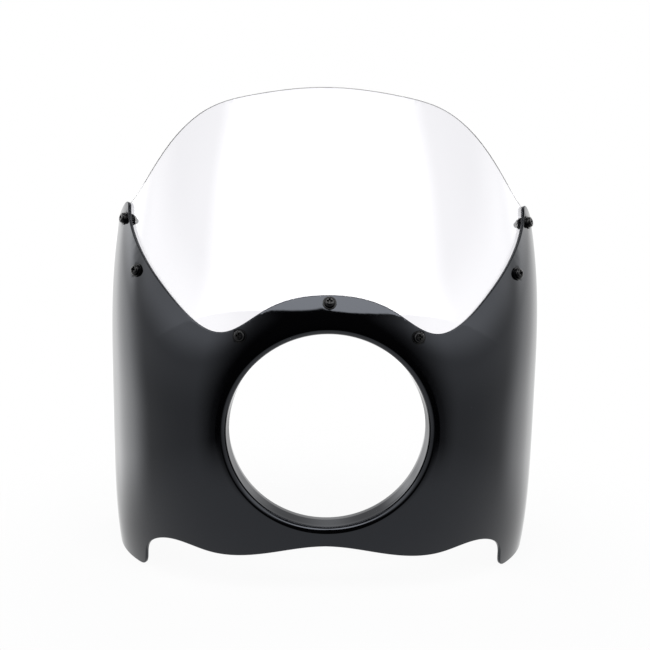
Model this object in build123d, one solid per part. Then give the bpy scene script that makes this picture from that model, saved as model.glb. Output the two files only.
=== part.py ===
# Headlight cowl: a moulded quarter fairing for a round motorbike headlight, with a clear screen
# screwed inside its upper edge. Millimetres, with -Y forward, +Z up and the headlight's axis along Y.
# Depths are measured back from the plane of the rim. The finished solids are then moved so that the
# origin is on the axis at the front end of the headlight's seat.
from build123d import *
from math import cos, pi, radians, sin, sqrt, tan
import os

# Headlight opening: a low bead round the rim and a drafted flange that ends in a straight seat
OPENING_R = 86.5        # radius of the seat that the headlight's rim passes through
SEAT_LENGTH = 6.0       # straight part of the flange, at its rear end
FLANGE_DEPTH = 22.0     # rim plane to the flange's rear end
FLANGE_DRAFT = 2.1      # how much wider the flange is at its mouth
FLANGE_WALL = 3.0
BEAD_WIDTH = 8.4        # flange mouth to the foot of the bead
BEAD_CREST = 1.8        # flat top of the bead
BEAD_LAP = 1.2          # how far the bead's foot runs on into the moulding
LIP_R = 5.0             # rounding from the bead into the flange

# Outer skin: rings round the headlight axis that grow from a circle inside the bead to a rounded square
ROOT_INSET = 15.0       # foot of the bead in to the first ring, where the skin lies level
ROOT_LEAD = 0.2         # first ring to the rim plane behind it
HALF_WIDTH = 202.0      # axis to the side panel at its widest
SIDE_DEPTH = 145.0      # rim plane to where the side panels run straight back
SCREEN_RAKE = 48.0      # slope of the screen from the horizontal, in degrees
TONGUE_ROUND = 18.9     # height of the rounded step from the first ring up to the raked part
TONGUE_ROUND_DEPTH = 4.0
LOWER_REACH = 278.0     # axis to where the rings' lower side would close
TOP_SQUARENESS = 3.5    # exponent of the rings at the side depth, 2 is an ellipse
LOW_SQUARENESS = 4.5
WALL = 3.5              # thickness of the moulding

# Places in the front view: a gap is outwards from the bead at an angle above the horizontal, a rise
# is up from the bead's top, a drop is down from its bottom and an inset is in from the widest point

# Upper edge of the cowl: tongue, shoulder, trough and horn
TONGUE_HEIGHT = 23.8
SHOULDER_ANGLE = 62.6
SHOULDER_GAP = 24.8
TROUGH_ANGLE = 43.1
TROUGH_GAP = 31.9
HORN_INSET = 60.7
HORN_RISE = 17.5
HORN_BEND_INSET = 33.2
HORN_BEND_RISE = 46.3
HORN_TIP_INSET = 18.6
HORN_TIP_RISE = 81.6

# Lower edge of the cowl: chin, notch and foot
CHIN_DROP = 9.5
CHIN_SIDE_X = 44.9
CHIN_SIDE_DROP = 16.0
CHIN_LOW_INSET = 96.0
CHIN_LOW_DROP = 21.2
NOTCH_INSET = 59.4
NOTCH_DROP = 16.2
FOOT_INSET = 36.9       # inner side of the foot
FOOT_DROP = 58.3        # the level that the side panels stand on
FOOT_R = 6.5            # rounding at the foot's front corner

# Rear edge of the side panels, in the side view
HORN_TIP_WIDTH = 6.8    # front edge to rear edge at the horn's tip
HORN_REAR_BACK = 15.0   # rear edge at the tip to the bend below it
HORN_REAR_FALL = 19.8
REAR_DEPTH = 205.0      # rim plane to the rear edge at the headlight's axis
FOOT_DEPTH = 190.0      # rim plane to the rear edge at the feet

# Screen: a clear sheet against the inside of the cowl
SCREEN_T = 3.0
SCREEN_FIT = 0.15       # gap between the sheet and the cowl
SCREEN_HEIGHT = 186.0   # bead's top to the top of the screen
SCREEN_CROWN_X = 70.1
SCREEN_CROWN_FALL = 7.2     # falls are from the top of the screen
SCREEN_CORNER_INSET = 93.8
SCREEN_CORNER_FALL = 18.4
SCREEN_SIDE_INSET = 58.7
SCREEN_SIDE_FALL = 47.6
SCREEN_TIP_GAP = 6.3    # screen's side edge to the horn's tip
SCREEN_TIP_BACK = 2.0   # cowl's rear edge to the screen's, at the horn's tip
SCREEN_HEM_GAP = 8.0    # bead to the sheet's lower edge, behind the tongue
SCREEN_HEM_DEPTH = 22.0  # trough to the sheet's lower edge
SCREEN_HEM_MARGIN = 16.8  # side screw to the sheet's lower corner

# Fasteners: seven pan-head screws, each with two washers and a lock nut
SCREW_D = 5.0
HOLE_CLEARANCE = 0.6
HEAD_D = 9.6
HEAD_H = 3.6
RECESS_W = 1.5
RECESS_L = 5.2
RECESS_DEPTH = 2.2
WASHER_D = 12.0
WASHER_T = 1.0
HOLLOW_R = 36.0         # tightest hollow of the sheet under an inner washer
NUT_FLATS = 8.0
NUT_H = 4.2
NUT_COLLAR_H = 1.4
THREAD_FIT = 0.1        # room round the shank in its washers and nut
SCREW_TAIL = 1.6        # thread that shows past the nut
TONGUE_SCREW_EDGE = 6.2  # tongue's top edge to the middle screw
LOWER_SCREW_ANGLE = 48.2
LOWER_SCREW_GAP = 18.6
SIDE_SCREW_OUT = 2.5    # side screw from the bend of the horn
SIDE_SCREW_BELOW = 16.8
TIP_SCREW_OUT = 3.0     # upper screw from the tip of the horn
TIP_SCREW_BELOW = 14.4

RING_R = OPENING_R + FLANGE_DRAFT + BEAD_WIDTH
ROOT_R = RING_R - ROOT_INSET
FACE_Y = -ROOT_LEAD
BEAD_FOOT_Y = FACE_Y + (SIDE_DEPTH - FACE_Y) * (1 - sqrt(1 - (ROOT_INSET / (HALF_WIDTH - ROOT_R)) ** 2))
SEAT_FRONT = FLANGE_DEPTH - SEAT_LENGTH
HORN_BEND_X = HALF_WIDTH - HORN_BEND_INSET
HORN_BEND_Z = RING_R + HORN_BEND_RISE
HORN_TIP_X = HALF_WIDTH - HORN_TIP_INSET
HORN_TIP_Z = RING_R + HORN_TIP_RISE
FOOT_X = HALF_WIDTH - FOOT_INSET
FOOT_Z = -(RING_R + FOOT_DROP)
SIDE_SCREW_X = HORN_BEND_X + SIDE_SCREW_OUT
SIDE_SCREW_Z = HORN_BEND_Z - SIDE_SCREW_BELOW
SCREEN_TOP = RING_R + SCREEN_HEIGHT
WASHER_FIT = WASHER_D ** 2 / (8 * HOLLOW_R)
UNDER_SHEET = -(WALL + SCREEN_FIT + SCREEN_T + WASHER_FIT + WASHER_T)
SCREW_L = WASHER_T - UNDER_SHEET + NUT_H + SCREW_TAIL
SKIN_END = 1.07 * max(REAR_DEPTH, FACE_Y + SCREEN_HEIGHT / tan(radians(SCREEN_RAKE)))
FAR = 2 * max(HALF_WIDTH, SCREEN_TOP, REAR_DEPTH)


def skin_radius(y, angle):
    """Distance from the headlight axis to the skin at depth y, with the angle measured from +X."""
    share = min(1.0, (y - FACE_Y) / (SIDE_DEPTH - FACE_Y))
    swell = sqrt(share * (2 - share))
    upness = (1 + sin(angle)) / 2
    step = sqrt(1 - 1 / (1 + (y - FACE_Y) / TONGUE_ROUND_DEPTH) ** 2)
    half_width = ROOT_R + (HALF_WIDTH - ROOT_R) * swell
    top = ROOT_R + TONGUE_ROUND * step + (y - FACE_Y) * tan(radians(SCREEN_RAKE))
    bottom = ROOT_R + (LOWER_REACH - ROOT_R) * swell
    height = bottom + (top - bottom) * upness
    squareness = LOW_SQUARENESS + (TOP_SQUARENESS - LOW_SQUARENESS) * upness
    power = 2 + (squareness - 2) * (y - FACE_Y) / (SIDE_DEPTH - FACE_Y)
    return ((abs(cos(angle)) / half_width) ** power + (abs(sin(angle)) / height) ** power) ** (-1 / power)


def skin_ring(y, count=48):
    """One closed ring of the skin, a smooth curve in the plane at depth y."""
    angles = [2 * pi * i / count - pi / 2 for i in range(count)]
    points = [(skin_radius(y, a) * cos(a), y, skin_radius(y, a) * sin(a)) for a in angles]
    return Wire([Edge.make_spline([Vector(*p) for p in points], periodic=True)])


def lofted_skin(count=10):
    """The whole outer skin from its first ring back past the screen's top, closer rings near the bead."""
    depths = [FACE_Y + (SKIN_END - FACE_Y) * (k / count) ** 2 for k in range(count + 1)]
    return Shell.make_loft([skin_ring(y) for y in depths])


def inset_skin(skin, depth):
    """The skin moved inwards by depth along its normals."""
    layer = Solid.thicken(skin, depth)
    return layer.faces().sort_by(SortBy.AREA)[-2]


def front_prism(outline):
    """A closed front-view outline for the right-hand side, mirrored and run through along Y."""
    half = make_face(Plane.XZ * outline)
    prism = extrude(half, amount=FAR, both=True)
    return prism + mirror(prism, about=Plane.YZ)


def side_prism(outline):
    """A closed side-view outline (y, z) run through along X."""
    return extrude(make_face(Plane.YZ * outline), amount=FAR, both=True)


def round_bead(gap, angle):
    """A place in the front view at a gap outside the bead, at an angle above the horizontal."""
    return ((RING_R + gap) * cos(radians(angle)), (RING_R + gap) * sin(radians(angle)))


def on_skin(skin, place):
    """The point of the skin that the front view shows at a place, and the normal that points out there."""
    x, z = place
    point, normal = skin.find_intersection_points(Axis((x, -FAR, z), (0, 1, 0)))[0]
    return point, (normal if normal.Y < 0 else -normal)


def cowl_outline():
    """Front view of the cowl's right-hand half: tongue, trough, horn, foot, notch and chin."""
    top = (0, RING_R + TONGUE_HEIGHT)
    chin = (0, -(RING_R + CHIN_DROP))
    horn = (HALF_WIDTH - HORN_INSET, RING_R + HORN_RISE)
    notch = (HALF_WIDTH - NOTCH_INSET, -(RING_R + NOTCH_DROP))
    tip = (HORN_TIP_X, HORN_TIP_Z)
    foot = (FOOT_X + FOOT_R, FOOT_Z)
    upper = Spline(
        top, round_bead(SHOULDER_GAP, SHOULDER_ANGLE), round_bead(TROUGH_GAP, TROUGH_ANGLE), horn,
        (HORN_BEND_X, HORN_BEND_Z), tip, tangents=[(1, 0), (-0.05, 1)])
    lower = Spline(
        chin, (CHIN_SIDE_X, -(RING_R + CHIN_SIDE_DROP)),
        (HALF_WIDTH - CHIN_LOW_INSET, -(RING_R + CHIN_LOW_DROP)), notch,
        (FOOT_X, (notch[1] + FOOT_Z) / 2), foot, tangents=[(1, 0), (1, 0)])
    return upper + Polyline(tip, (FAR, HORN_TIP_Z), (FAR, FOOT_Z), foot) + lower + Line(chin, top)


def screen_outline():
    """Front view of the screen's right-hand half: crown, side, hidden corner and lower edge."""
    top = (0, SCREEN_TOP)
    side = (HORN_TIP_X - SCREEN_TIP_GAP, HORN_TIP_Z + SCREEN_TIP_GAP * 0.75)
    hidden_z = HORN_TIP_Z - SCREEN_TIP_GAP / 2
    hem = (0, RING_R + SCREEN_HEM_GAP)
    trough = round_bead(TROUGH_GAP, TROUGH_ANGLE)
    corner_z = SIDE_SCREW_Z - SCREEN_HEM_MARGIN
    upper = Spline(
        top, (SCREEN_CROWN_X, SCREEN_TOP - SCREEN_CROWN_FALL),
        (HALF_WIDTH - SCREEN_CORNER_INSET, SCREEN_TOP - SCREEN_CORNER_FALL),
        (HALF_WIDTH - SCREEN_SIDE_INSET, SCREEN_TOP - SCREEN_SIDE_FALL), side,
        tangents=[(1, 0), (0.53, -0.85)])
    lower = Spline(
        hem, round_bead(SCREEN_HEM_GAP, SHOULDER_ANGLE), (trough[0], trough[1] - SCREEN_HEM_DEPTH),
        (SIDE_SCREW_X, corner_z), tangents=[(1, 0), (1, 0.5)])
    rest = Polyline(side, (HORN_TIP_X, hidden_z), (FAR, hidden_z), (FAR, corner_z), (SIDE_SCREW_X, corner_z))
    return upper + rest + lower + Line(hem, top)


def rear_outline(tip_y):
    """Side view of everything in front of the cowl's rear edge, which starts at depth tip_y on the tip."""
    edge = Spline(
        (tip_y, HORN_TIP_Z), (tip_y + HORN_REAR_BACK, HORN_TIP_Z - HORN_REAR_FALL), (REAR_DEPTH, 0),
        (FOOT_DEPTH, FOOT_Z))
    rest = Polyline(
        (FOOT_DEPTH, FOOT_Z), (FOOT_DEPTH, -FAR), (-FAR, -FAR), (-FAR, FAR), (tip_y, FAR),
        (tip_y, HORN_TIP_Z))
    return edge + rest


def screen_side_outline(side_y):
    """Side view of everything in front of the screen's side edges, at depth side_y below the horn's tip."""
    return Polyline(
        (-FAR, 0), (side_y, 0), (side_y, HORN_TIP_Z), (SKIN_END, SCREEN_TOP), (SKIN_END, FAR), (-FAR, FAR),
        close=True)


def rim():
    """The bead and the drafted flange, turned round the headlight axis."""
    mouth = OPENING_R + FLANGE_DRAFT
    back = BEAD_FOOT_Y + WALL + BEAD_LAP
    lip = CenterArc((mouth + LIP_R, LIP_R), LIP_R, 180, 90)
    crest = Line((mouth + LIP_R, 0), (mouth + LIP_R + BEAD_CREST, 0))
    flank = Spline(crest @ 1, (RING_R + BEAD_LAP, BEAD_FOOT_Y + WALL / 2), tangents=[(1, 0), (0.4, 1)])
    rest = Polyline(
        flank @ 1, (RING_R + 2 * BEAD_LAP, back), (mouth + FLANGE_WALL, back),
        (OPENING_R + FLANGE_WALL, SEAT_FRONT), (OPENING_R + FLANGE_WALL, FLANGE_DEPTH),
        (OPENING_R, FLANGE_DEPTH), (OPENING_R, SEAT_FRONT), (mouth, LIP_R))
    return revolve(make_face(lip + crest + flank + rest), axis=Axis.Y)


def screw_seats(skin):
    """A plane on the skin under each screw, with its Z axis pointing out of the cowl."""
    side_places = [
        round_bead(LOWER_SCREW_GAP, LOWER_SCREW_ANGLE), (SIDE_SCREW_X, SIDE_SCREW_Z),
        (HORN_TIP_X + TIP_SCREW_OUT, HORN_TIP_Z - TIP_SCREW_BELOW)]
    places = [(0, RING_R + TONGUE_HEIGHT - TONGUE_SCREW_EDGE)]
    places += [(side * x, z) for side in (-1, 1) for x, z in side_places]
    spots = [on_skin(skin, place) for place in places]
    return [Plane(point, x_dir=(0, 0, 1), z_dir=outward) for point, outward in spots]


def at_each(seats, piece):
    """A copy of one fastener piece at every screw, as separate solids of one node."""
    return [seat.location * piece.solid() for seat in seats]


def screw():
    """Pan-head screw with a cross recess, its head on the washer and its shank through the stack."""
    head = Pos(0, 0, WASHER_T + HEAD_H / 2) * Cylinder(HEAD_D / 2, HEAD_H)
    head = chamfer(head.edges().sort_by(Axis.Z)[-1], HEAD_H * 0.4)
    cross = Rectangle(RECESS_L, RECESS_W) + Rectangle(RECESS_W, RECESS_L)
    head -= Pos(0, 0, WASHER_T + HEAD_H) * extrude(cross, amount=-RECESS_DEPTH)
    shank = Pos(0, 0, WASHER_T - SCREW_L / 2) * Cylinder(SCREW_D / 2, SCREW_L)
    shank = chamfer(shank.edges().sort_by(Axis.Z)[0], SCREW_D * 0.12)
    return head + shank


def washer():
    """Flat washer on the plane z = 0."""
    disc = Circle(WASHER_D / 2) - Circle(SCREW_D / 2 + THREAD_FIT)
    return extrude(disc, amount=WASHER_T)


def nut():
    """Lock nut whose seat is the plane z = 0, with a round collar at its far end."""
    hexagon = RegularPolygon(NUT_FLATS / 2, 6, major_radius=False)
    body = extrude(hexagon, amount=-(NUT_H - NUT_COLLAR_H))
    collar = Pos(0, 0, -NUT_H + NUT_COLLAR_H / 2) * Cylinder(NUT_FLATS * 0.45, NUT_COLLAR_H)
    collar = chamfer(collar.edges().sort_by(Axis.Z)[0], NUT_COLLAR_H * 0.5)
    bore = Cylinder(SCREW_D / 2 + THREAD_FIT, 3 * NUT_H)
    return body + collar - bore


def screw_holes(seats):
    """The clearance holes, long enough to pass the cowl and the screen."""
    return [seat.location * Cylinder((SCREW_D + HOLE_CLEARANCE) / 2, 3 * SCREW_L) for seat in seats]


def horn_tip_rear(skin):
    """Depth of the cowl's rear edge at the tip of the horn."""
    return on_skin(skin, (HORN_TIP_X, HORN_TIP_Z))[0].Y + HORN_TIP_WIDTH


def cowl_shell(skin, seats):
    """The moulding: skin trimmed to its outline, thickened inwards, opened at the bead and joined to the rim."""
    panel = skin.faces()[0] & front_prism(cowl_outline()) & side_prism(rear_outline(horn_tip_rear(skin)))
    opening = Rot(90, 0, 0) * Cylinder(RING_R, FAR)
    shell = Part() + Solid.thicken(panel, WALL) - opening + rim()
    return shell - screw_holes(seats)


def windscreen(skin, seats):
    """The clear sheet: the skin's inner face trimmed to the screen's outline and thickened."""
    inner = inset_skin(skin, WALL + SCREEN_FIT)
    side_y = horn_tip_rear(skin) + SCREEN_TIP_BACK
    panel = inner & front_prism(screen_outline()) & side_prism(screen_side_outline(side_y))
    return Part() + Solid.thicken(panel, SCREEN_T) - screw_holes(seats)


def main():
    skin = lofted_skin()
    seats = screw_seats(skin)
    nodes = {
        "cowl_shell": cowl_shell(skin, seats).solids(),
        "windscreen": windscreen(skin, seats).solids(),
        "screen_screws": at_each(seats, screw()),
        "outer_washers": at_each(seats, washer()),
        "inner_washers": at_each(seats, Pos(0, 0, UNDER_SHEET) * washer()),
        "lock_nuts": at_each(seats, Pos(0, 0, UNDER_SHEET) * nut()),
    }
    to_seat = Pos(0, -SEAT_FRONT, 0)
    os.makedirs("parts", exist_ok=True)
    for name, solids in nodes.items():
        export_step(Compound(children=[to_seat * solid for solid in solids]), f"parts/{name}.step")


main()
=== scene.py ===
# Headlight cowl: the looks of the moulded cowl, its clear screen and its fasteners in a white studio.
# Sizes are in millimetres from the rim's plane, and become metres in the part's frame where a mesh is made.
from math import cos, pi, radians, sin, tan

import bmesh
import bpy
import numpy as np
from mathutils import Euler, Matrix
from mathutils.geometry import delaunay_2d_cdt

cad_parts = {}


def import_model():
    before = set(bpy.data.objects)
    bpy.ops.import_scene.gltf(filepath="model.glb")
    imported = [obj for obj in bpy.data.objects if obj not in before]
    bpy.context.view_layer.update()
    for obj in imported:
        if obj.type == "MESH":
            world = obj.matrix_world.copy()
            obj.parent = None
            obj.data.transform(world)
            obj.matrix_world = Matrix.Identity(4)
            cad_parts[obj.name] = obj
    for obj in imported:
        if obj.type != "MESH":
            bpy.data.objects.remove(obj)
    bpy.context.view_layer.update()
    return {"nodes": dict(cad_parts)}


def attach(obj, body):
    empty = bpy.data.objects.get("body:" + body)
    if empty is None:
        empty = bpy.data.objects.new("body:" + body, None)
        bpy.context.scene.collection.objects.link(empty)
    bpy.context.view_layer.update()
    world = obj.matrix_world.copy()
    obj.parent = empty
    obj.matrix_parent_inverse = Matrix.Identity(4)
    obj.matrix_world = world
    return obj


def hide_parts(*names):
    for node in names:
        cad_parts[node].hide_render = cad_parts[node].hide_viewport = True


MM = 0.001

# Headlight opening
OPENING_R = 86.5
SEAT_FRONT = 16.0
FLANGE_DEPTH = 22.0
FLANGE_WALL = 3.0
MOUTH_R = 88.5
LIP_R = 6.0             # rounding from the bead into the flange
BEAD_CREST = 95.6       # radius at which the bead's rounding turns on to the face
BEAD_FOOT = 98.4        # radius at which it has run out on the face
FLANGE_END_R = 0.8      # rounding of the flange's rear end
FLANK_BACK = (0.6, 8.2)     # on the flange's back: a step out from the mouth's wall, and a depth
FILLET_BACK = ((1.6, 2.3), (3.4, 0.7))  # further steps out, and distances behind the face's wall

# Outer skin
ROOT_R = 82.0
FACE_Y = -0.2
HALF_WIDTH = 202.0
SIDE_DEPTH = 145.0
SCREEN_RAKE = radians(48.0)
TONGUE_ROUND = 18.9
TONGUE_ROUND_DEPTH = 4.0
LOWER_REACH = 278.0
TOP_SQUARENESS = 3.5
LOW_SQUARENESS = 4.5
SKIN_LENGTH = 216.0
WALL = 3.5
COWL_EDGE_R = 1.1       # rounding of the moulding's edges

# Edges of the cowl, in the front view (x, z) and the side view (y, z)
TONGUE_TOP = (0.0, 120.8)
SHOULDER = (56.05, 108.1)
TROUGH = (94.1, 88.1)
HORN = (141.3, 114.5)
HORN_BEND = (168.8, 143.3)
HORN_TIP = (183.4, 178.6)
CHIN = (0.0, -106.5)
CHIN_SIDE = (44.9, -113.0)
CHIN_LOW = (106.0, -118.2)
NOTCH = (142.6, -113.2)
FOOT_INNER = (165.1, -134.25)
FOOT_FRONT = (171.6, -155.3)
FOOT_Z = -155.3
TIP_REAR = (141.4, 178.6)
HORN_REAR = (156.4, 158.8)
REAR_MIDDLE = (205.0, 0.0)
FOOT_REAR = (190.0, -155.3)
HORN_TIP_HEADING = (-0.05, 1)

# Screen
SCREEN_T = 3.0
SCREEN_FIT = 0.15
SCREEN_EDGE_R = 0.7
SCREEN_TOP = (0.0, 283.0)
SCREEN_CROWN = (70.1, 275.8)
SCREEN_CORNER = (108.2, 264.6)
SCREEN_SIDE = (143.3, 235.4)
SCREEN_TIP = (177.1, 183.3)
SCREEN_HIDDEN = (183.4, 175.45)
SCREEN_SIDE_DEPTH = 143.4
SCREEN_HEM = (0.0, 105.0)
SCREEN_HEM_SHOULDER = (48.3, 93.2)
SCREEN_HEM_TROUGH = (94.1, 66.1)
SCREEN_HEM_CORNER = (171.3, 109.7)
SCREEN_TIP_HEADING = (0.53, -0.85)
SCREEN_HEM_HEADING = (-1, -0.5)

# Screws: their sizes, and their places in the front view
SCREW_HOLE_R = 2.8
SCREW_R = 2.5
SCREW_LENGTH = 14.95    # under the head
SCREW_PITCH = 0.8
THREAD_DEPTH = 0.35
THREAD_LENGTH = 8.0
THREAD_LEAD = 0.5       # length of the chamfer at the point
POINT_R = 1.8
HEAD_R = 4.8
HEAD_HEIGHT = 3.6
HEAD_ROUND = 1.9
HEAD_BREAK = 0.15       # broken edge under the head
WASHER_T = 1.0
RECESS_WIDTH = 1.5
RECESS_SPAN = 4.8
RECESS_DEPTH = 2.2
RECESS_DRAFT = 0.35     # how far its walls lean in
RECESS_BREAK = 0.2      # its broken upper edge
MIDDLE_SCREW = (0.0, 114.6)
SIDE_SCREWS = ((77.05, 86.2), (171.3, 126.5), (186.4, 164.2))

# Mesh: spacing and numbers of points, tolerances and rounds of searching
EDGE_STEP = 2.2
FACE_STEP = 4.0
ROW_SHARE = 0.866       # height of a row of triangles, in face steps
EDGE_ROOM = 0.6         # least distance of a face's inner points from its edge, in face steps
AROUND = 150.0          # length of one radian and of one unit along, where a face is filled
ALONG = 280.0
BEAD_POINTS = 150       # round half of the bead
BEAD_ROWS = 7
LIP_ROWS = 13
FLANGE_SHARES = (0.2, 0.4, 0.6, 0.8, 0.95, 1.0)     # rows from the lip to the seat
FLANGE_END_ROWS = 4
HOLE_POINTS = 20
MIDDLE_HOLE_POINTS = 24
HEAD_ROWS = 7
THREAD_ROWS = 61
SCREW_SECTORS = 40
CLOSE = 1e-7            # distance within which points count as one, where a face is filled
WELD = 0.01             # distance within which the points of two halves are joined
SHARP_EDGE = radians(35)
EVEN_SHADING = 60       # weight of the larger faces in the shading
HALVINGS = 50
AIM_ROUNDS = 6
NEAREST = 1e-3          # skin coordinate along, from which a search starts

# Camera, for a square picture: place in metres, turn in degrees, lens and sensor in millimetres
CAMERA_PLACE = (-0.0405, -1.24332, 0.42887)
CAMERA_TURN = (74.9386, -0.8884, -1.4623)
CAMERA_LENS = 82.433
CAMERA_SENSOR = 36.0

# Floor, with its lengths in metres
FLOOR_R = 0.6
FLOOR_GAP = 0.00002     # under the feet
FLOOR_COLOUR = (0.5, 0.5, 0.51, 1)
FLOOR_WHITE = 0.94      # share of plain white where it is seen
FLOOR_FADE = (0.22, 0.48)   # distances from its middle between which it fades out

# Light tent: pairs of bearings from straight ahead or of heights above the horizon, in degrees, between which
# a brightness changes, and brightnesses
TENT_LEVEL = 0.8        # of the wall as light; it is 1 where a surface mirrors it
GROUND = (-16, 2)
GROUND_SHARE = 0.75
CEILING = (42, 54)
CEILING_SHARE = 0.3
CEILING_REAR = (90, 110)
DOORWAY = (18, 46)
DOORWAY_SHARE = 0.004
DOORWAY_TOP = (62.5, 64.5)  # heights as they are seen from the side
DOORWAY_ARCH = 0.4      # fall of its top for each degree to the side
PANEL_SIDE = (40, 58)
PANEL_LEVEL = 5.8
PANEL_FRINGE = (44, 88)
PANEL_FRINGE_LEVEL = 0.8
PANEL_TOP = (74, 84)        # also seen from the side
BAND_LOW, BAND_HIGH = (4, 22), (30, 48)
BAND_FRONT, BAND_REAR = (26, 46), (90, 115)
BAND_LEVEL = 1.3
SIDE_FRONT, SIDE_REAR = (92, 120), (140, 165)
SIDE_HIGH = (-4, 20)
SIDE_LEVEL = 1.3
SIDE_REAR_SHARE = 0.2
WINDOW_FRONT, WINDOW_REAR = (100, 116), (132, 146)
WINDOW_LOW, WINDOW_HIGH = (0, 12), (22, 40)
WINDOW_LEVEL = 2.6
BACK = (150, 179)
BACK_LEVEL = 0.8
LEFT_TO_RIGHT = (-pi / 6, pi / 6)   # share of a direction that points right, where the sides' light changes
LEFT_SHARE, RIGHT_SHARE = 1.05, 0.6


def skin_radius(y, angle):
    """Distance from the headlight axis to the skin at depth y, with the angle measured from +X."""
    back = y - FACE_Y
    share = np.minimum(1.0, back / (SIDE_DEPTH - FACE_Y))
    swell = np.sqrt(share * (2 - share))
    upness = (1 + np.sin(angle)) / 2
    step = np.sqrt(1 - 1 / (1 + back / TONGUE_ROUND_DEPTH) ** 2)
    half_width = ROOT_R + (HALF_WIDTH - ROOT_R) * swell
    top = ROOT_R + TONGUE_ROUND * step + back * tan(SCREEN_RAKE)
    bottom = ROOT_R + (LOWER_REACH - ROOT_R) * swell
    height = bottom + (top - bottom) * upness
    squareness = LOW_SQUARENESS + (TOP_SQUARENESS - LOW_SQUARENESS) * upness
    power = 2 + (squareness - 2) * back / (SIDE_DEPTH - FACE_Y)
    across = np.abs(np.cos(angle)) / half_width
    upright = np.abs(np.sin(angle)) / height
    return (across ** power + upright ** power) ** (-1 / power)


def skin_depth(along):
    """Depth y of a skin coordinate that grows evenly with the distance from the bead."""
    return FACE_Y + SKIN_LENGTH * along ** 2


def skin_point(coords):
    """Points of the skin for rows of coordinates (angle, along)."""
    angle, along = coords[:, 0], coords[:, 1]
    y = skin_depth(along)
    radius = skin_radius(y, angle)
    return np.stack([radius * np.cos(angle), y, radius * np.sin(angle)], axis=1)


def skin_slopes(coords):
    """How the skin's points move with the angle and with the distance along, and the outward normals."""
    tiny = 1e-4
    turn = np.array([[tiny, 0.0]])
    step = np.array([[0.0, tiny]])
    by_angle = (skin_point(coords + turn) - skin_point(coords - turn)) / (2 * tiny)
    by_along = (skin_point(coords + step) - skin_point(coords - step)) / (2 * tiny)
    normal = np.cross(by_angle, by_along)
    normal /= np.linalg.norm(normal, axis=1)[:, None]
    normal *= np.where(np.sum(normal * skin_point(coords) * [1, 0, 1], axis=1) < 0, -1, 1)[:, None]
    return by_angle, by_along, normal


def inset_point(coords, inset):
    """Points of the skin moved inwards along its normals."""
    return skin_point(coords) - inset * skin_slopes(coords)[2]


def halve(below, low, high):
    """Where a rising test turns false between low and high, found for a whole row at once."""
    for _ in range(HALVINGS):
        middle = (low + high) / 2
        under = below(middle)
        low = np.where(under, middle, low)
        high = np.where(under, high, middle)
    return (low + high) / 2


def locate_front(places, inset=0.0):
    """Skin coordinates of what the front view shows at places (x, z) on the skin moved inwards by inset."""
    places = np.array(places, float)
    aim = places.copy()
    for _ in range(AIM_ROUNDS):
        angle = np.arctan2(aim[:, 1], aim[:, 0])
        reach = np.hypot(aim[:, 0], aim[:, 1])
        low = np.full(len(aim), NEAREST)
        along = halve(lambda v: skin_radius(skin_depth(v), angle) < reach, low, np.ones(len(aim)))
        coords = np.stack([angle, along], axis=1)
        aim += places - inset_point(coords, inset)[:, [0, 2]]
    return coords


def locate_side(places, inset=0.0):
    """Skin coordinates of what the side view shows at places (y, z) on the skin moved inwards by inset."""
    places = np.array(places, float)
    aim = places.copy()
    for _ in range(AIM_ROUNDS):
        along = np.sqrt((aim[:, 0] - FACE_Y) / SKIN_LENGTH)
        low = np.full(len(aim), -pi / 2)
        angle = halve(lambda a: skin_radius(aim[:, 0], a) * np.sin(a) < aim[:, 1], low, -low)
        coords = np.stack([angle, along], axis=1)
        aim += places - inset_point(coords, inset)[:, [1, 2]]
    return coords


def smooth_curve(points, start=None, end=None, count=30):
    """Points along the smooth curve through the given ones, with set directions at its ends if given."""
    points = np.array(points, float)
    chords = np.linalg.norm(np.diff(points, axis=0), axis=1)
    size = len(points)
    system = np.zeros((size, size))
    right = np.zeros((size, 2))
    system[0, :2] = (1, 0) if start else (2, 1)
    right[0] = np.divide(start, np.hypot(*start)) if start else 3 * (points[1] - points[0]) / chords[0]
    system[-1, -2:] = (0, 1) if end else (1, 2)
    right[-1] = np.divide(end, np.hypot(*end)) if end else 3 * (points[-1] - points[-2]) / chords[-1]
    for i in range(1, size - 1):
        before, after = chords[i - 1], chords[i]
        system[i, i - 1:i + 2] = (after, 2 * (before + after), before)
        rise = (points[i] - points[i - 1]) / before
        run = (points[i + 1] - points[i]) / after
        right[i] = 3 * (after * rise + before * run)
    slopes = np.linalg.solve(system, right)
    t = np.linspace(0, 1, count, endpoint=False)[:, None]
    spans = []
    for i in range(size - 1):
        bend = (2 * t ** 3 - 3 * t ** 2 + 1) * points[i] + (3 * t ** 2 - 2 * t ** 3) * points[i + 1]
        pull = (t ** 3 - 2 * t ** 2 + t) * slopes[i] + (t ** 3 - t ** 2) * slopes[i + 1]
        spans.append(bend + chords[i] * pull)
    return np.vstack(spans + [points[-1:]])


def straight(start, end, count=40):
    """Points along a straight line."""
    return np.linspace(start, end, count)


def spread(coords, step):
    """The same path over the skin, with its points an even step apart."""
    gaps = np.linalg.norm(np.diff(skin_point(coords), axis=0), axis=1)
    run = np.concatenate([[0], np.cumsum(gaps)])
    places = np.linspace(0, run[-1], max(2, int(round(run[-1] / step)) + 1))
    return np.stack([np.interp(places, run, coords[:, k]) for k in (0, 1)], axis=1)


def joined(paths):
    """Paths that follow each other as one path."""
    return np.vstack([path[:-1] for path in paths[:-1]] + [paths[-1]])


def soften(coords, passes=3):
    """The path with its corners eased."""
    for _ in range(passes):
        coords[1:-1] = (coords[:-2] + 2 * coords[1:-1] + coords[2:]) / 4
    return coords


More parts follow.
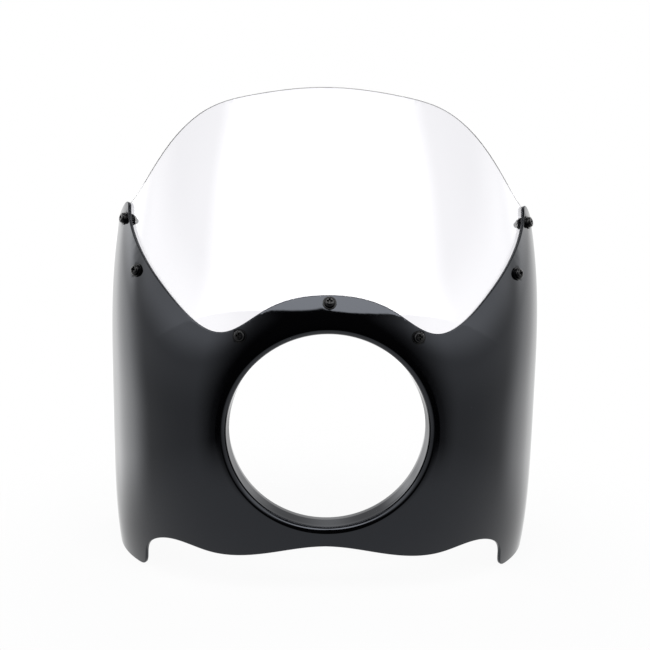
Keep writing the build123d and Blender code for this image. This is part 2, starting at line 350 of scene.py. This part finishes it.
def cowl_edge():
    """Path of the cowl's outer edge on the right-hand side: tongue, horn, rear, foot and chin."""
    upper = smooth_curve(
        [TONGUE_TOP, SHOULDER, TROUGH, HORN, HORN_BEND, HORN_TIP], (1, 0), HORN_TIP_HEADING)
    lower = smooth_curve([FOOT_FRONT, FOOT_INNER, NOTCH, CHIN_LOW, CHIN_SIDE, CHIN], (-1, 0), (-1, 0))
    upper = locate_front(upper)
    lower = locate_front(lower)
    tip_y = skin_depth(upper[-1, 1])
    foot_y = skin_depth(lower[0, 1])
    tip = locate_side(straight((tip_y, HORN_TIP[1]), TIP_REAR))
    rear = locate_side(smooth_curve([TIP_REAR, HORN_REAR, REAR_MIDDLE, FOOT_REAR]))
    foot = locate_side(straight(FOOT_REAR, (foot_y, FOOT_Z)))
    return soften(spread(joined([upper, tip, rear, foot, lower]), EDGE_STEP))


def screen_edge(inset):
    """Path of the screen's edge on the right-hand side, from its top round the hidden corner to its hem."""
    upper = smooth_curve(
        [SCREEN_TOP, SCREEN_CROWN, SCREEN_CORNER, SCREEN_SIDE, SCREEN_TIP], (1, 0), SCREEN_TIP_HEADING)
    hem = smooth_curve(
        [SCREEN_HEM_CORNER, SCREEN_HEM_TROUGH, SCREEN_HEM_SHOULDER, SCREEN_HEM], SCREEN_HEM_HEADING, (-1, 0))
    upper = locate_front(np.vstack([upper, straight(SCREEN_TIP, SCREEN_HIDDEN)[1:]]), inset)
    hem = locate_front(hem, inset)
    hidden_y = inset_point(upper[-1:], inset)[0, 1]
    corner_y = inset_point(hem[:1], inset)[0, 1]
    back_top = (SCREEN_SIDE_DEPTH, SCREEN_HIDDEN[1])
    back_low = (SCREEN_SIDE_DEPTH, SCREEN_HEM_CORNER[1])
    shelf = locate_side(straight((hidden_y, SCREEN_HIDDEN[1]), back_top), inset)
    side = locate_side(straight(back_top, back_low), inset)
    under = locate_side(straight(back_low, (corner_y, SCREEN_HEM_CORNER[1])), inset)
    return soften(spread(joined([upper, shelf, side, under, hem]), EDGE_STEP))


def drawn_in(coords, distance):
    """An edge path moved over the skin, away from the edge, and the direction that it was moved from."""
    point = skin_point(coords)
    by_angle, by_along, normal = skin_slopes(coords)
    heading = np.gradient(point, axis=0)
    heading[[0, -1]] *= [1, 0, 0]
    outward = np.cross(heading, normal)
    outward /= np.linalg.norm(outward, axis=1)[:, None]
    outward *= np.sign(outward[0, 2])
    aa = np.sum(by_angle * by_angle, axis=1)
    ab = np.sum(by_angle * by_along, axis=1)
    bb = np.sum(by_along * by_along, axis=1)
    ra = -distance * np.sum(outward * by_angle, axis=1)
    rb = -distance * np.sum(outward * by_along, axis=1)
    spare = aa * bb - ab * ab
    moved = coords + np.stack([(ra * bb - rb * ab) / spare, (rb * aa - ra * ab) / spare], axis=1)
    moved[[0, -1], 0] = coords[[0, -1], 0]
    return moved, outward


def hole_ring(place, count=HOLE_POINTS):
    """Skin coordinates round a screw hole, anticlockwise from its right-hand side in the front view."""
    centre = locate_front([place])
    by_angle, by_along, normal = skin_slopes(centre)
    level = np.cross([0, 0, 1], normal[0])
    level /= np.linalg.norm(level)
    rise = np.cross(normal[0], level)
    slopes = np.stack([by_angle[0], by_along[0]], axis=1)
    turns = np.linspace(0, 2 * pi, count, endpoint=False)
    offsets = SCREW_HOLE_R * (np.outer(np.cos(turns), level) + np.outer(np.sin(turns), rise))
    return centre + offsets @ np.linalg.pinv(slopes).T


def seam_past_hole(low, high, angle):
    """Path up the middle plane from low to high, round the right-hand side of the middle screw's hole."""
    ring = hole_ring(MIDDLE_SCREW, MIDDLE_HOLE_POINTS)
    side = ring[np.cos(ring[:, 0]) >= -1e-9]  # with the points on the middle plane
    side = side[np.argsort(side[:, 1])]
    side[[0, -1], 0] = angle
    first = spread(np.array([[angle, low], side[0]]), EDGE_STEP)
    last = spread(np.array([side[-1], [angle, high]]), EDGE_STEP)
    return first, side, last


def inside(points, loop):
    """Which of the points lie inside a closed loop, in the plane."""
    hit = np.zeros(len(points), bool)
    for (ax, ay), (bx, by) in zip(loop, np.roll(loop, -1, axis=0)):
        crosses = (ay > points[:, 1]) != (by > points[:, 1])
        climb = (by - ay) or 1e-12  # a level side is never crossed
        reach = ax + (points[:, 1] - ay) * (bx - ax) / climb
        hit ^= crosses & (points[:, 0] < reach)
    return hit


def meshed(rings, grid):
    """Triangles inside the first of some closed rings and outside the others, as rows of point numbers.
    The points are those of the rings, in their own order, and then those of the grid."""
    points = np.vstack([*rings, grid])
    edges = []
    first = 0
    for ring in rings:
        edges += [(first + i, first + (i + 1) % len(ring)) for i in range(len(ring))]
        first += len(ring)
    _, _, faces, sources, _, _ = delaunay_2d_cdt(points.tolist(), edges, [], 2, CLOSE)
    triangles = np.array([[sources[i][0] for i in face] for face in faces])
    middles = points[triangles].mean(axis=1)
    kept = inside(middles, rings[0])
    for ring in rings[1:]:
        kept &= ~inside(middles, ring)
    return triangles[kept].tolist()


def filled(loop, holes):
    """Triangles over the skin inside a loop of coordinates, less its holes: coordinates and triangles.
    The loop's points come first, then those of each hole, in their own order."""
    scale = np.array([AROUND, ALONG])
    rings = [ring * scale for ring in [loop, *holes]]
    low, high = rings[0].min(0), rings[0].max(0)
    columns = np.arange(low[0], high[0], FACE_STEP)
    rows = np.arange(low[1], high[1], FACE_STEP * ROW_SHARE)
    grid = np.array([(x + FACE_STEP / 2 * (j % 2), y) for j, y in enumerate(rows) for x in columns])
    grid = grid[inside(grid, rings[0])]
    border = np.vstack(rings)
    for ring in rings[1:]:
        grid = grid[~inside(grid, ring)]
    nearest = np.array([np.min(np.hypot(*(border - p).T)) for p in grid])
    grid = grid[nearest > FACE_STEP * EDGE_ROOM]
    return np.vstack([border, grid]) / scale, meshed(rings, grid)


def add_object(name, data):
    """A new object in the scene."""
    made = bpy.data.objects.new(name, data)
    bpy.context.scene.collection.objects.link(made)
    return made


class HalfMesh:
    """Points and faces of a piece's right-hand half, which is mirrored when the piece is made."""

    def __init__(self):
        self.points = []
        self.faces = []
        self.second_finish = range(0)  # numbers of the faces with the second material

    def add(self, points):
        """Adds points, and gives their numbers."""
        first = len(self.points)
        self.points += [tuple(p) for p in points]
        return list(range(first, len(self.points)))

    def strip(self, one, other):
        """Adds the faces between two rows of points."""
        for i in range(len(one) - 1):
            self.faces.append((one[i], one[i + 1], other[i + 1], other[i]))

    def make(self, name):
        """The whole piece as an object, moved from the rim's plane to the frame's origin."""
        mesh = bmesh.new()
        for side in (1, -1):
            verts = []
            for x, y, z in self.points:
                verts.append(mesh.verts.new((side * x * MM, (y - SEAT_FRONT) * MM, z * MM)))
            for number, face in enumerate(self.faces):
                made = mesh.faces.new([verts[i] for i in face])
                made.material_index = int(number in self.second_finish)
        bmesh.ops.remove_doubles(mesh, verts=mesh.verts, dist=WELD * MM)
        bmesh.ops.recalc_face_normals(mesh, faces=mesh.faces)
        data = bpy.data.meshes.new(name)
        mesh.to_mesh(data)
        mesh.free()
        data.shade_smooth()
        piece = add_object(name, data)
        piece.modifiers.new("even shading", "WEIGHTED_NORMAL").weight = EVEN_SHADING
        return piece


def add_wall(half, coords, triangles, outer, inner):
    """The two faces of a wall between two depths under the skin, and the index rows of their points."""
    skin = skin_point(coords)
    normal = skin_slopes(coords)[2]
    front = half.add(skin - outer * normal)
    rear = half.add(skin - inner * normal)
    half.faces += [tuple(front[i] for i in face) for face in triangles]
    half.faces += [tuple(rear[i] for i in reversed(face)) for face in triangles]
    return front, rear


def add_round_edge(half, coords, outward, front, rear, outer, inner, radius, steps=4):
    """The rounded edge between the first points of a wall's two faces."""
    skin = skin_point(coords)
    normal = skin_slopes(coords)[2]
    row = front
    turns = np.linspace(pi / 2, 0, steps + 1)
    for turn in turns[1:]:
        centre = skin - (outer + radius) * normal
        next_row = half.add(centre + radius * (sin(turn) * normal + cos(turn) * outward))
        half.strip(row, next_row)
        row = next_row
    for turn in turns[::-1][:-1]:
        centre = skin - (inner - radius) * normal
        next_row = half.add(centre + radius * (cos(turn) * outward - sin(turn) * normal))
        half.strip(row, next_row)
        row = next_row
    half.strip(row, rear)


def rim_sections(bead):
    """Rows (radius, depth) round the rim: from the face over the bead, down the flange and up behind it."""
    skin = skin_point(bead)
    by_along = skin_slopes(bead)[1]
    slope = by_along[:, 1] / np.hypot(by_along[:, 0], by_along[:, 2])
    fall = BEAD_FOOT - BEAD_CREST
    crest = skin[:, 1] - slope * fall / 2
    lip = crest + LIP_R
    level = np.ones(len(bead))
    rows = []
    for share in np.linspace(1, 0, BEAD_ROWS)[1:]:
        rows.append(((BEAD_CREST + share * fall) * level, crest + slope * fall / 2 * share ** 2))
    for turn in np.linspace(0, pi / 2, LIP_ROWS):
        rows.append(((MOUTH_R + LIP_R * (1 - sin(turn))) * level, crest + LIP_R * (1 - cos(turn))))
    for share in FLANGE_SHARES:
        radius = MOUTH_R + (OPENING_R - MOUTH_R) * share
        rows.append((radius * level, lip + (SEAT_FRONT - lip) * share))
    rear = FLANGE_DEPTH - FLANGE_END_R
    wall_r = OPENING_R + FLANGE_WALL
    quarter = np.linspace(0, pi / 2, FLANGE_END_ROWS)
    for turn in quarter:
        radius = OPENING_R + FLANGE_END_R * (1 - cos(turn))
        rows.append((radius * level, (rear + FLANGE_END_R * sin(turn)) * level))
    for turn in quarter[::-1]:
        radius = wall_r - FLANGE_END_R * (1 - cos(turn))
        rows.append((radius * level, (rear + FLANGE_END_R * sin(turn)) * level))
    rows.append((wall_r * level, SEAT_FRONT * level))
    flank_r = MOUTH_R + FLANGE_WALL
    rows.append(((flank_r + FLANK_BACK[0]) * level, FLANK_BACK[1] * level))
    for out, back in FILLET_BACK:
        rows.append(((flank_r + out) * level, crest + WALL + back))
    return rows


def make_cowl():
    """The moulding: face, cheeks, horns and feet in one wall, with the bead and flange turned into it."""
    edge, outward = drawn_in(cowl_edge(), COWL_EDGE_R)
    bead_turns = np.linspace(-pi / 2, pi / 2, BEAD_POINTS)
    bead = locate_front(BEAD_FOOT * np.stack([np.cos(bead_turns), np.sin(bead_turns)], axis=1))
    bead[[0, -1], 0] = (-pi / 2, pi / 2)
    chin = spread(np.array([edge[-1], bead[0]]), EDGE_STEP)
    low, hole, high = seam_past_hole(bead[-1, 1], edge[0, 1], pi / 2)
    loop = np.vstack([edge, chin[1:-1], bead, low[1:-1], hole, high[1:-1]])
    holes = [hole_ring(place) for place in SIDE_SCREWS]
    coords, triangles = filled(loop, holes)
    half = HalfMesh()
    front, rear = add_wall(half, coords, triangles, 0.0, WALL)
    half.second_finish = range(len(triangles), 2 * len(triangles))
    add_round_edge(half, edge, outward, front[:len(edge)], rear[:len(edge)], 0.0, WALL, COWL_EDGE_R)
    bead_first = len(edge) + len(chin) - 2
    row = front[bead_first:bead_first + len(bead)]
    last = rear[bead_first:bead_first + len(bead)]
    for radius, depth in rim_sections(bead):
        across = radius * np.cos(bead[:, 0])
        across[[0, -1]] = 0.0
        next_row = half.add(np.stack([across, depth, radius * np.sin(bead[:, 0])], axis=1))
        half.strip(row, next_row)
        row = next_row
    half.strip(row, last)
    hole_first = bead_first + len(bead) + len(low) - 2
    line_holes(half, front, rear, hole_first, len(hole), len(loop), [len(ring) for ring in holes])
    return half.make("cowl_moulding")


def line_holes(half, front, rear, middle_first, middle_count, first, counts):
    """The walls of the screw holes: half of the middle one, then the whole ones after the loop."""
    span = slice(middle_first, middle_first + middle_count)
    half.strip(front[span], rear[span])
    for count in counts:
        span = slice(first, first + count)
        half.strip(front[span] + front[first:first + 1], rear[span] + rear[first:first + 1])
        first += count


def make_screen():
    """The clear sheet behind the cowl's upper edge."""
    outer = WALL + SCREEN_FIT
    inner = outer + SCREEN_T
    edge, outward = drawn_in(screen_edge(outer), SCREEN_EDGE_R)
    low, hole, high = seam_past_hole(edge[-1, 1], edge[0, 1], pi / 2)
    loop = np.vstack([edge, low[1:-1], hole, high[1:-1]])
    holes = [hole_ring(place) for place in SIDE_SCREWS]
    coords, triangles = filled(loop, holes)
    half = HalfMesh()
    front, rear = add_wall(half, coords, triangles, outer, inner)
    add_round_edge(half, edge, outward, front[:len(edge)], rear[:len(edge)], outer, inner, SCREEN_EDGE_R)
    hole_first = len(edge) + len(low) - 2
    line_holes(half, front, rear, hole_first, len(hole), len(loop), [len(ring) for ring in holes])
    return half.make("screen_sheet")


def screw_frame(place):
    """Seat of a screw on the skin: its point and its level, rising and outward directions."""
    centre = locate_front([place])
    outward = skin_slopes(centre)[2][0]
    rise = np.array([0.0, 0.0, 1.0]) - outward[2] * outward
    rise /= np.linalg.norm(rise)
    return skin_point(centre)[0], np.cross(rise, outward), rise, outward


def cross_outline(shrink):
    """Corners of the cross recess, anticlockwise."""
    near, far = RECESS_WIDTH / 2 - shrink, RECESS_SPAN / 2 - shrink
    arm = np.array([(far, -near), (far, near), (near, near)])
    turn = np.array([(0, 1), (-1, 0)])
    return np.vstack([arm @ np.linalg.matrix_power(turn, k) for k in range(4)])


def screw_points():
    """One screw in its own frame, with its seat at the origin and its head along +Z: points and faces."""
    points, faces = [], []
    turns = np.linspace(0, 2 * pi, SCREW_SECTORS, endpoint=False)

    def add(places, height):
        first = len(points)
        points.extend((x, y, height) for x, y in places)
        return list(range(first, len(points)))

    def ring(radius, height):
        return add(np.stack([radius * np.cos(turns), radius * np.sin(turns)], axis=1), height)

    def band(one, other):
        count = len(one)
        for i in range(count):
            faces.append((one[i], one[(i + 1) % count], other[(i + 1) % count], other[i]))

    top = WASHER_T + HEAD_HEIGHT
    crown = ring(HEAD_R - HEAD_ROUND, top)
    rim = np.array([points[i][:2] for i in crown])
    cross = cross_outline(-RECESS_BREAK)
    lip = add(cross, top)
    place = crown + lip
    faces += [tuple(place[i] for i in face) for face in meshed([rim, cross], np.empty((0, 2)))]
    for shrink, depth in ((0.0, RECESS_BREAK), (RECESS_DRAFT, RECESS_DEPTH)):
        floor = add(cross_outline(shrink), top - depth)
        band(lip, floor)
        lip = floor
    faces.append(tuple(floor))
    end = WASHER_T - SCREW_LENGTH
    thread_start = end + THREAD_LENGTH
    sections = []
    for turn in np.linspace(pi / 2, 0, HEAD_ROWS)[1:]:
        sections.append((HEAD_R - HEAD_ROUND * (1 - cos(turn)), top - HEAD_ROUND * (1 - sin(turn))))
    sections.append((HEAD_R, WASHER_T + HEAD_BREAK))
    sections.append((HEAD_R - HEAD_BREAK, WASHER_T))
    sections.append((SCREW_R, WASHER_T))
    for height in np.linspace(thread_start, end + THREAD_LEAD, THREAD_ROWS):
        phase = (height / SCREW_PITCH + turns / (2 * pi)) % 1
        runout = min(1.0, (thread_start - height) / SCREW_PITCH)
        sections.append((SCREW_R - THREAD_DEPTH * runout * (1 - np.abs(2 * phase - 1)), height))
    sections.append((POINT_R, end))
    row = crown
    for radius, height in sections:
        next_row = ring(radius, height)
        band(row, next_row)
        row = next_row
    faces.append(tuple(row))
    return np.array(points), faces


def make_screws():
    """The pan-head screws, each with a cross recess and a thread."""
    points, faces = screw_points()
    mesh = bmesh.new()
    mirrored = [(side * x, z) for side in (1, -1) for x, z in SIDE_SCREWS]
    for x, z in [MIDDLE_SCREW, *mirrored]:
        seat, level, rise, outward = screw_frame((abs(x), z))
        flip = -1 if x < 0 else 1
        placed = (seat + points @ np.stack([level, rise, outward]) - [0, SEAT_FRONT, 0]) * [flip, 1, 1]
        verts = [mesh.verts.new(point) for point in placed * MM]
        for face in faces:
            mesh.faces.new([verts[i] for i in face])
    bmesh.ops.recalc_face_normals(mesh, faces=mesh.faces)
    for edge in mesh.edges:
        edge.smooth = edge.calc_face_angle(0.0) < SHARP_EDGE
    data = bpy.data.meshes.new("pan_head_screws")
    mesh.to_mesh(data)
    mesh.free()
    data.polygons.foreach_set("use_smooth", [True] * len(data.polygons))
    return add_object("pan_head_screws", data)


def new_material(name, colour, roughness, ior=1.5):
    """A material with its main shader, and the shader's node."""
    material = bpy.data.materials.new(name)
    material.use_nodes = True
    shader = material.node_tree.nodes["Principled BSDF"]
    shader.inputs["Base Color"].default_value = (*colour, 1)
    shader.inputs["Roughness"].default_value = roughness
    shader.inputs["IOR"].default_value = ior
    return material, shader


def noise(material, scale, detail=3.0):
    """A noise texture that is fixed to the object."""
    nodes, links = material.node_tree.nodes, material.node_tree.links
    place = nodes.new("ShaderNodeTexCoord")
    texture = nodes.new("ShaderNodeTexNoise")
    texture.inputs["Scale"].default_value = scale
    texture.inputs["Detail"].default_value = detail
    links.new(place.outputs["Object"], texture.inputs["Vector"])
    return texture


def varied_roughness(material, shader, low, high, scale):
    """Roughness that wanders between two values over the surface."""
    nodes, links = material.node_tree.nodes, material.node_tree.links
    texture = noise(material, scale)
    span = nodes.new("ShaderNodeMapRange")
    span.inputs["To Min"].default_value = low
    span.inputs["To Max"].default_value = high
    links.new(texture.outputs["Fac"], span.inputs["Value"])
    links.new(span.outputs["Result"], shader.inputs["Roughness"])


def bumps(material, shader, scale, height):
    """A fine unevenness of the surface, its height in metres."""
    nodes, links = material.node_tree.nodes, material.node_tree.links
    texture = noise(material, scale, 2.0)
    bump = nodes.new("ShaderNodeBump")
    bump.inputs["Distance"].default_value = height
    links.new(texture.outputs["Fac"], bump.inputs["Height"])
    links.new(bump.outputs["Normal"], shader.inputs["Normal"])


def gloss_black():
    """Polished black moulding with a slight ripple."""
    material, shader = new_material("gloss_black_moulding", (0.0008, 0.0008, 0.001), roughness=0.04)
    shader.inputs["Specular IOR Level"].default_value = 0.38
    shader.inputs["Specular Tint"].default_value = (0.84, 0.89, 1.0, 1)
    varied_roughness(material, shader, low=0.02, high=0.06, scale=60)
    bumps(material, shader, scale=90, height=0.00002)
    return material


def satin_black():
    """The moulding's back, as it leaves the mould, with a fine grain."""
    material, shader = new_material("satin_black_back", (0.006, 0.006, 0.0065), roughness=0.45)
    varied_roughness(material, shader, low=0.36, high=0.52, scale=120)
    bumps(material, shader, scale=1400, height=0.00006)
    return material


def clear_acrylic():
    """Clear sheet, very slightly wavy and hazed by handling."""
    material, shader = new_material("clear_acrylic", (0.91, 0.905, 0.935), roughness=0.0, ior=1.49)
    shader.inputs["Transmission Weight"].default_value = 1.0
    varied_roughness(material, shader, low=0.0, high=0.008, scale=40)
    bumps(material, shader, scale=25, height=0.00001)
    return material


def black_steel():
    """Black-coated steel of the screws and nuts."""
    material, shader = new_material("black_coated_steel", (0.002, 0.002, 0.0025), roughness=0.15)
    shader.inputs["Specular IOR Level"].default_value = 0.2
    varied_roughness(material, shader, low=0.1, high=0.2, scale=900)
    return material


def black_nylon():
    """Black nylon of the washers."""
    material, shader = new_material("black_nylon", (0.002, 0.002, 0.0025), roughness=0.25)
    shader.inputs["Specular IOR Level"].default_value = 0.15
    varied_roughness(material, shader, low=0.2, high=0.32, scale=700)
    return material


class Sums:
    """Arithmetic in a node tree, on numbers and on the outputs of its nodes."""

    def __init__(self, tree):
        self.nodes = tree.nodes
        self.links = tree.links

    def combine(self, operation, *values):
        """One operation on a value, or on all of several values in turn."""
        node = self.nodes.new("ShaderNodeMath")
        node.operation = operation
        for socket, value in zip(node.inputs, values[:2]):
            if isinstance(value, (int, float)):
                socket.default_value = value
            else:
                self.links.new(value, socket)
        result = node.outputs[0]
        return self.combine(operation, result, *values[2:]) if len(values) > 2 else result

    def product(self, *values):
        return self.combine("MULTIPLY", *values)

    def total(self, *values):
        return self.combine("ADD", *values)

    def largest(self, *values):
        return self.combine("MAXIMUM", *values)

    def ramp(self, value, span, low=0.0, high=1.0):
        """A smooth change from low to high while a value crosses a span."""
        node = self.nodes.new("ShaderNodeMapRange")
        node.interpolation_type = "SMOOTHSTEP"
        node.inputs["From Min"].default_value = span[0]
        node.inputs["From Max"].default_value = span[1]
        node.inputs["To Min"].default_value = low
        node.inputs["To Max"].default_value = high
        self.links.new(value, node.inputs["Value"])
        return node.outputs["Result"]

    def rise(self, angle, degrees, high=1.0, low=0.0):
        """A ramp up over a span in degrees."""
        return self.ramp(angle, [radians(end) for end in degrees], low, high)

    def fall(self, angle, degrees, low=0.0, high=1.0):
        """A ramp down over a span in degrees."""
        return self.ramp(angle, [radians(end) for end in degrees], high, low)


def make_world():
    """A white tent with a dark doorway in front, a bright panel above it, and a band, windows and a back that
    add light round the sides, less on the right. It is plain white where the camera sees it, also through the
    screen."""
    world = bpy.data.worlds.new("white_tent")
    bpy.context.scene.world = world
    world.use_nodes = True
    nodes, links = world.node_tree.nodes, world.node_tree.links
    background = nodes["Background"]
    sums = Sums(world.node_tree)
    place = nodes.new("ShaderNodeTexCoord")
    split = nodes.new("ShaderNodeSeparateXYZ")
    links.new(place.outputs["Generated"], split.inputs["Vector"])
    right, up = split.outputs["X"], split.outputs["Z"]
    forward = sums.product(split.outputs["Y"], -1.0)
    bearing = sums.combine("ABSOLUTE", sums.combine("ARCTAN2", right, forward))
    height = sums.combine("ARCSINE", up)
    lift = sums.combine("ARCTAN2", up, forward)
    path = nodes.new("ShaderNodeLightPath")
    seen = sums.largest(path.outputs["Is Camera Ray"], path.outputs["Is Transmission Ray"])
    white = sums.largest(seen, path.outputs["Is Glossy Ray"])
    above = sums.rise(sums.total(lift, sums.product(bearing, DOORWAY_ARCH)), DOORWAY_TOP)
    doorway = sums.largest(sums.rise(bearing, DOORWAY, low=DOORWAY_SHARE), above)
    ground = sums.rise(height, GROUND, low=GROUND_SHARE)
    ceiling = sums.largest(sums.fall(height, CEILING, low=CEILING_SHARE), sums.rise(bearing, CEILING_REAR))
    cloth = sums.total(TENT_LEVEL, sums.product(white, 1 - TENT_LEVEL))
    wall = sums.product(cloth, doorway, ground, ceiling)
    band = sums.product(
        sums.rise(height, BAND_LOW), sums.fall(height, BAND_HIGH),
        sums.rise(bearing, BAND_FRONT, BAND_LEVEL), sums.fall(bearing, BAND_REAR))
    sides = sums.product(
        sums.rise(bearing, SIDE_FRONT, SIDE_LEVEL), sums.fall(bearing, SIDE_REAR, low=SIDE_REAR_SHARE),
        sums.fall(height, SIDE_HIGH))
    windows = sums.product(
        sums.rise(bearing, WINDOW_FRONT, WINDOW_LEVEL), sums.fall(bearing, WINDOW_REAR),
        sums.rise(height, WINDOW_LOW), sums.fall(height, WINDOW_HIGH))
    balance = sums.ramp(right, LEFT_TO_RIGHT, LEFT_SHARE, RIGHT_SHARE)
    beside = sums.product(sums.total(sides, windows), balance)
    back = sums.rise(bearing, BACK, BACK_LEVEL)
    shine = sums.total(
        sums.fall(bearing, PANEL_SIDE, high=PANEL_LEVEL),
        sums.fall(bearing, PANEL_FRINGE, high=PANEL_FRINGE_LEVEL))
    panel = sums.product(shine, above, sums.fall(lift, PANEL_TOP))
    tent = sums.total(wall, panel, band, beside, back)
    unseen = sums.combine("SUBTRACT", 1.0, seen)
    links.new(sums.total(seen, sums.product(tent, unseen)), background.inputs["Strength"])
    background.inputs["Color"].default_value = (1, 1, 1, 1)


def make_floor():
    """A round white table top that keeps the object's shadow and fades out towards its edge."""
    bpy.ops.mesh.primitive_circle_add(vertices=128, radius=FLOOR_R, fill_type="NGON")
    floor = bpy.context.object
    floor.name = "studio_floor"
    floor.location = (0, 0, FOOT_Z * MM - FLOOR_GAP)
    material = bpy.data.materials.new("white_floor")
    material.use_nodes = True
    nodes, links = material.node_tree.nodes, material.node_tree.links
    nodes.remove(nodes["Principled BSDF"])
    sums = Sums(material.node_tree)
    paint = nodes.new("ShaderNodeBsdfDiffuse")
    paint.inputs["Color"].default_value = FLOOR_COLOUR
    glow = nodes.new("ShaderNodeEmission")
    glow.inputs["Strength"].default_value = 1.0
    clear = nodes.new("ShaderNodeBsdfTransparent")
    path = nodes.new("ShaderNodeLightPath")
    white = sums.largest(
        path.outputs["Is Camera Ray"], path.outputs["Is Transmission Ray"], path.outputs["Is Glossy Ray"])
    place = nodes.new("ShaderNodeTexCoord")
    reach = nodes.new("ShaderNodeVectorMath")
    reach.operation = "LENGTH"
    links.new(place.outputs["Object"], reach.inputs[0])

    def mixed(share, one, other):
        mix = nodes.new("ShaderNodeMixShader")
        for socket, value in zip(mix.inputs, (share, one, other)):
            links.new(value, socket)
        return mix.outputs[0]

    top = mixed(sums.product(white, FLOOR_WHITE), paint.outputs[0], glow.outputs[0])
    faded = mixed(sums.ramp(reach.outputs["Value"], FLOOR_FADE), top, clear.outputs[0])
    links.new(faded, nodes["Material Output"].inputs["Surface"])
    floor.data.materials.append(material)


def make_camera():
    """The camera at the photograph's place."""
    data = bpy.data.cameras.new("camera")
    data.lens = CAMERA_LENS
    data.sensor_width = CAMERA_SENSOR
    camera = add_object("camera", data)
    camera.location = CAMERA_PLACE
    camera.rotation_euler = Euler([radians(turn) for turn in CAMERA_TURN])
    bpy.context.scene.camera = camera


def main():
    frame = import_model()
    bpy.context.scene.view_settings.view_transform = "Standard"
    make_world()
    make_floor()
    make_camera()
    cowl = make_cowl()
    cowl.data.materials.append(gloss_black())
    cowl.data.materials.append(satin_black())
    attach(cowl, "root")
    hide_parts("cowl_shell")
    screen = make_screen()
    screen.data.materials.append(clear_acrylic())
    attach(screen, "root")
    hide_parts("windscreen")
    steel = black_steel()
    nylon = black_nylon()
    screws = make_screws()
    screws.data.materials.append(steel)
    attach(screws, "root")
    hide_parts("screen_screws")
    finishes = {"lock_nuts": steel, "outer_washers": nylon, "inner_washers": nylon}
    for node, material in finishes.items():
        mesh = frame["nodes"][node].data
        mesh.materials.clear()
        mesh.materials.append(material)


main()
